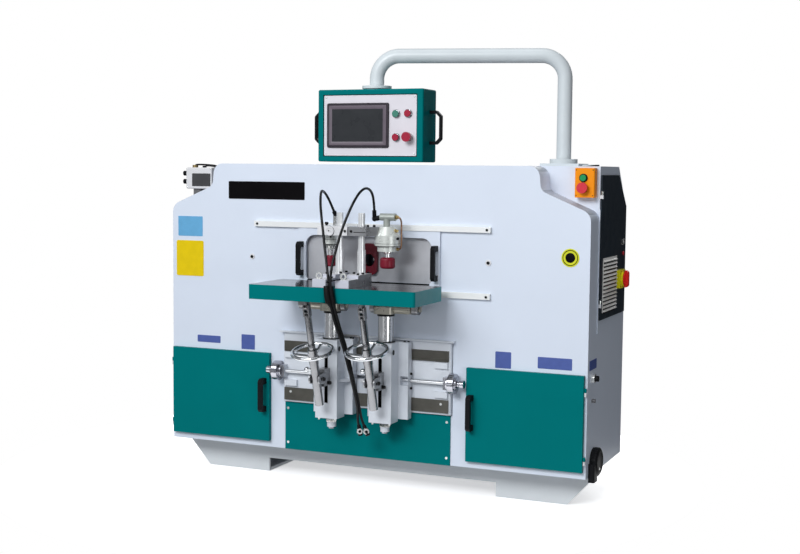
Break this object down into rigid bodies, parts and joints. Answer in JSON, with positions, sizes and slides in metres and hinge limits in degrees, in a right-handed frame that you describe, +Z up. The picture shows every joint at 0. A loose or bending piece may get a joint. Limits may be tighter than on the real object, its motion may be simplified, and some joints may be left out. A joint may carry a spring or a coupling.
{
  "type": "cnc slot mortiser",
  "caption": "Floor-standing CNC slot mortiser with twin tilting clamp tables on chrome columns, a sliding spindle guard, tool doors, a side electrical tower and an overhead pendant.",
  "frame": {"origin": "centre of the four floor anchor holes, on the floor plane", "axes": "+X towards the machine's electrical tower (right as the operator faces it), +Y away from the operator, +Z up"},
  "size_m": [1.725, 0.8946, 1.604],
  "materials": {
    "white_paint": "satin",
    "teal_paint": "satin",
    "grey_paint": "satin",
    "navy_paint": "satin",
    "cream_paint": "satin",
    "dark_strip": "ground",
    "steel": "turned",
    "chrome": "polished",
    "table_iron": "machined",
    "black_plastic": "moulded",
    "orange_plastic": "moulded",
    "red_plastic": "moulded",
    "green_plastic": "moulded",
    "screen": "glossy",
    "hose_rubber": "smooth",
    "brass": "turned",
    "maroon_paint": "satin"
  },
  "bodies": {
    "base": {"plinth_frame": "grey_paint", "main_cabinet": "white_paint", "spindle_housing": "white_paint", "front_mask": "white_paint", "center_cover": "teal_paint", "panel_screws": "steel", "guard_rails": "cream_paint", "way_bed": "white_paint", "way_strips": "dark_strip", "junction_box": "grey_paint", "side_inlets": "black_plastic", "station_box": "orange_plastic", "door_hinges": "steel", "x_axis_drive": "steel"},
    "left_door": {"left_door": "teal_paint", "left_door_handle": "black_plastic"},
    "right_door": {"right_door": "teal_paint", "right_door_handle": "black_plastic"},
    "electrical_door": {"electrical_door": "navy_paint"},
    "main_switch_knob": {"main_switch_knob": "red_plastic"},
    "guard": {"guard_panel": "white_paint", "guard_handles": "black_plastic"},
    "pendant_arm": {"pendant_arm": "grey_paint"},
    "pendant": {"pendant_box": "teal_paint", "touch_screen": "screen", "pendant_handles": "black_plastic"},
    "pendant_green_button": {"pendant_green_button": "green_plastic"},
    "pendant_red_button": {"pendant_red_button": "red_plastic"},
    "pendant_reset_button": {"pendant_reset_button": "red_plastic"},
    "pendant_emergency_stop": {"pendant_emergency_stop": "red_plastic"},
    "station_start_button": {"station_start_button": "green_plastic"},
    "station_stop_button": {"station_stop_button": "red_plastic"},
    "x_carriage": {"x_carriage": "steel"},
    "shield_cradle": {"shield_cradle": "grey_paint"},
    "spindle_motor": {"spindle_motor": "steel"},
    "spindle_chuck": {"spindle_chuck": "steel"},
    "left_knee": {"left_knee": "white_paint"},
    "left_lead_screw": {"left_lead_screw": "steel"},
    "left_column": {"left_column": "chrome", "left_strut_clamp": "grey_paint", "left_hose_connector": "brass"},
    "left_table": {"left_table": "table_iron", "left_clamp_stand": "cream_paint", "left_hose": "hose_rubber"},
    "left_clamp_foot": {"left_clamp_foot": "maroon_paint"},
    "left_strut_sleeve": {"left_strut_sleeve": "steel"},
    "left_strut_rod": {"left_strut_rod": "chrome"},
    "left_handwheel": {"left_handwheel": "chrome"},
    "right_knee": {"right_knee": "white_paint"},
    "right_lead_screw": {"right_lead_screw": "steel"},
    "right_column": {"right_column": "chrome", "right_strut_clamp": "grey_paint", "right_hose_connector": "brass"},
    "right_table": {"right_table": "table_iron", "right_clamp_stand": "cream_paint", "right_hose": "hose_rubber"},
    "right_clamp_foot": {"right_clamp_foot": "maroon_paint"},
    "right_strut_sleeve": {"right_strut_sleeve": "steel"},
    "right_strut_rod": {"right_strut_rod": "chrome"},
    "right_handwheel": {"right_handwheel": "chrome"}
  },
  "joints": [
    {"name": "left_door_hinge", "type": "hinge", "parent": "base", "child": "left_door", "pos_m": [-0.8205, -0.31, 0.312], "axis": [0, 0, -1], "range_deg": [0, 110]},
    {"name": "right_door_hinge", "type": "hinge", "parent": "base", "child": "right_door", "pos_m": [0.8205, -0.31, 0.312], "axis": [0, 0, 1], "range_deg": [0, 110]},
    {"name": "electrical_door_hinge", "type": "hinge", "parent": "base", "child": "electrical_door", "pos_m": [0.834, -0.191, 0.908], "axis": [0, 0, -1], "range_deg": [0, 110]},
    {"name": "main_switch_turn", "type": "hinge", "parent": "electrical_door", "child": "main_switch_knob", "pos_m": [0.85, 0.085, 0.785], "axis": [-1, 0, 0], "range_deg": [0, 90]},
    {"name": "guard_slide", "type": "slide", "parent": "base", "child": "guard", "axis": [1, 0, 0], "range_m": [-0.075, 0.075]},
    {"name": "pendant_arm_swing", "type": "hinge", "parent": "base", "child": "pendant_arm", "pos_m": [0.6635, -0.087, 1.215], "axis": [0, 0, 1], "range_deg": [-14, 60]},
    {"name": "pendant_swivel", "type": "hinge", "parent": "pendant_arm", "child": "pendant", "pos_m": [0.013, -0.257, 1.461], "axis": [0, 0, 1], "range_deg": [-60, 60]},
    {"name": "pendant_green_button_press", "type": "slide", "parent": "pendant", "child": "pendant_green_button", "axis": [0, 1, 0], "range_m": [0, 0.004], "stiffness_N_per_m": 1000, "springref_m": -0.002},
    {"name": "pendant_red_button_press", "type": "slide", "parent": "pendant", "child": "pendant_red_button", "axis": [0, 1, 0], "range_m": [0, 0.004], "stiffness_N_per_m": 1000, "springref_m": -0.002},
    {"name": "pendant_reset_button_press", "type": "slide", "parent": "pendant", "child": "pendant_reset_button", "axis": [0, 1, 0], "range_m": [0, 0.004], "stiffness_N_per_m": 1000, "springref_m": -0.002},
    {"name": "pendant_emergency_stop_press", "type": "slide", "parent": "pendant", "child": "pendant_emergency_stop", "axis": [0, 1, 0], "range_m": [0, 0.005], "stiffness_N_per_m": 1000, "springref_m": -0.002},
    {"name": "station_start_button_press", "type": "slide", "parent": "base", "child": "station_start_button", "axis": [0, 1, 0], "range_m": [0, 0.004], "stiffness_N_per_m": 1000, "springref_m": -0.002},
    {"name": "station_stop_button_press", "type": "slide", "parent": "base", "child": "station_stop_button", "axis": [0, 1, 0], "range_m": [0, 0.005], "stiffness_N_per_m": 1000, "springref_m": -0.002},
    {"name": "x_axis", "type": "slide", "parent": "base", "child": "x_carriage", "axis": [1, 0, 0], "range_m": [-0.165, 0.165]},
    {"name": "z_axis", "type": "slide", "parent": "x_carriage", "child": "shield_cradle", "axis": [0, 0, 1], "range_m": [-0.02, 0.02]},
    {"name": "y_feed", "type": "slide", "parent": "shield_cradle", "child": "spindle_motor", "axis": [0, -1, 0], "range_m": [0, 0.088]},
    {"name": "spindle_turn", "type": "hinge", "parent": "spindle_motor", "child": "spindle_chuck", "pos_m": [0.005, -0.162, 0.845], "axis": [0, 1, 0], "continuous": true},
    {"name": "left_lead_screw_turn", "type": "hinge", "parent": "base", "child": "left_lead_screw", "pos_m": [-0.348, -0.333, 0.424], "axis": [1, 0, 0], "range_deg": [0, 4320]},
    {"name": "left_knee_slide", "type": "slide", "parent": "base", "child": "left_knee", "axis": [-1, 0, 0], "range_m": [0, 0.06]},
    {"name": "left_column_lift", "type": "slide", "parent": "left_knee", "child": "left_column", "axis": [0, 0, 1], "range_m": [-0.05, 0.025]},
    {"name": "left_handwheel_turn", "type": "hinge", "parent": "left_strut_sleeve", "child": "left_handwheel", "pos_m": [-0.106, -0.51695, 0.50502], "axis": [0, -0.2756, 0.9613], "range_deg": [0, 3675.7]},
    {"name": "left_table_tilt", "type": "hinge", "parent": "left_column", "child": "left_table", "pos_m": [-0.106, -0.37, 0.684], "axis": [1, 0, 0], "range_deg": [0, 15], "deforming": ["left_hose"]},
    {"name": "left_strut_swing", "type": "hinge", "parent": "left_column", "child": "left_strut_sleeve", "pos_m": [-0.106, -0.49573, 0.431], "axis": [1, 0, 0], "range_deg": [-0.5, 6]},
    {"name": "left_strut_extend", "type": "slide", "parent": "left_strut_sleeve", "child": "left_strut_rod", "axis": [0, -0.2756, 0.9613], "range_m": [-0.06, 0.001]},
    {"name": "left_clamp_press", "type": "slide", "parent": "left_table", "child": "left_clamp_foot", "axis": [0, 0, -1], "range_m": [0, 0.04], "stiffness_N_per_m": 300, "springref_m": -0.06},
    {"name": "right_lead_screw_turn", "type": "hinge", "parent": "base", "child": "right_lead_screw", "pos_m": [0.348, -0.333, 0.424], "axis": [-1, 0, 0], "range_deg": [0, 4320]},
    {"name": "right_knee_slide", "type": "slide", "parent": "base", "child": "right_knee", "axis": [1, 0, 0], "range_m": [0, 0.06]},
    {"name": "right_column_lift", "type": "slide", "parent": "right_knee", "child": "right_column", "axis": [0, 0, 1], "range_m": [-0.05, 0.025]},
    {"name": "right_handwheel_turn", "type": "hinge", "parent": "right_strut_sleeve", "child": "right_handwheel", "pos_m": [0.106, -0.51695, 0.50502], "axis": [0, -0.2756, 0.9613], "range_deg": [0, 3675.7]},
    {"name": "right_table_tilt", "type": "hinge", "parent": "right_column", "child": "right_table", "pos_m": [0.106, -0.37, 0.684], "axis": [1, 0, 0], "range_deg": [0, 15], "deforming": ["right_hose"]},
    {"name": "right_strut_swing", "type": "hinge", "parent": "right_column", "child": "right_strut_sleeve", "pos_m": [0.106, -0.49573, 0.431], "axis": [1, 0, 0], "range_deg": [-0.5, 6]},
    {"name": "right_strut_extend", "type": "slide", "parent": "right_strut_sleeve", "child": "right_strut_rod", "axis": [0, -0.2756, 0.9613], "range_m": [-0.06, 0.001]},
    {"name": "right_clamp_press", "type": "slide", "parent": "right_table", "child": "right_clamp_foot", "axis": [0, 0, -1], "range_m": [0, 0.04], "stiffness_N_per_m": 300, "springref_m": -0.06}
  ],
  "couplings": [
    {"joint": "left_lead_screw_turn", "follows": "left_knee_slide", "rad_per_m": 1256.6},
    {"joint": "left_table_tilt", "follows": "left_handwheel_turn", "ratio": 0.0040809},
    {"joint": "left_strut_swing", "follows": "left_handwheel_turn", "ratio": 0.00081617},
    {"joint": "left_strut_extend", "follows": "left_handwheel_turn", "m_per_rad": -0.00079577},
    {"joint": "right_lead_screw_turn", "follows": "right_knee_slide", "rad_per_m": 1256.6},
    {"joint": "right_table_tilt", "follows": "right_handwheel_turn", "ratio": 0.0040809},
    {"joint": "right_strut_swing", "follows": "right_handwheel_turn", "ratio": 0.00081617},
    {"joint": "right_strut_extend", "follows": "right_handwheel_turn", "m_per_rad": -0.00079577}
  ]
}
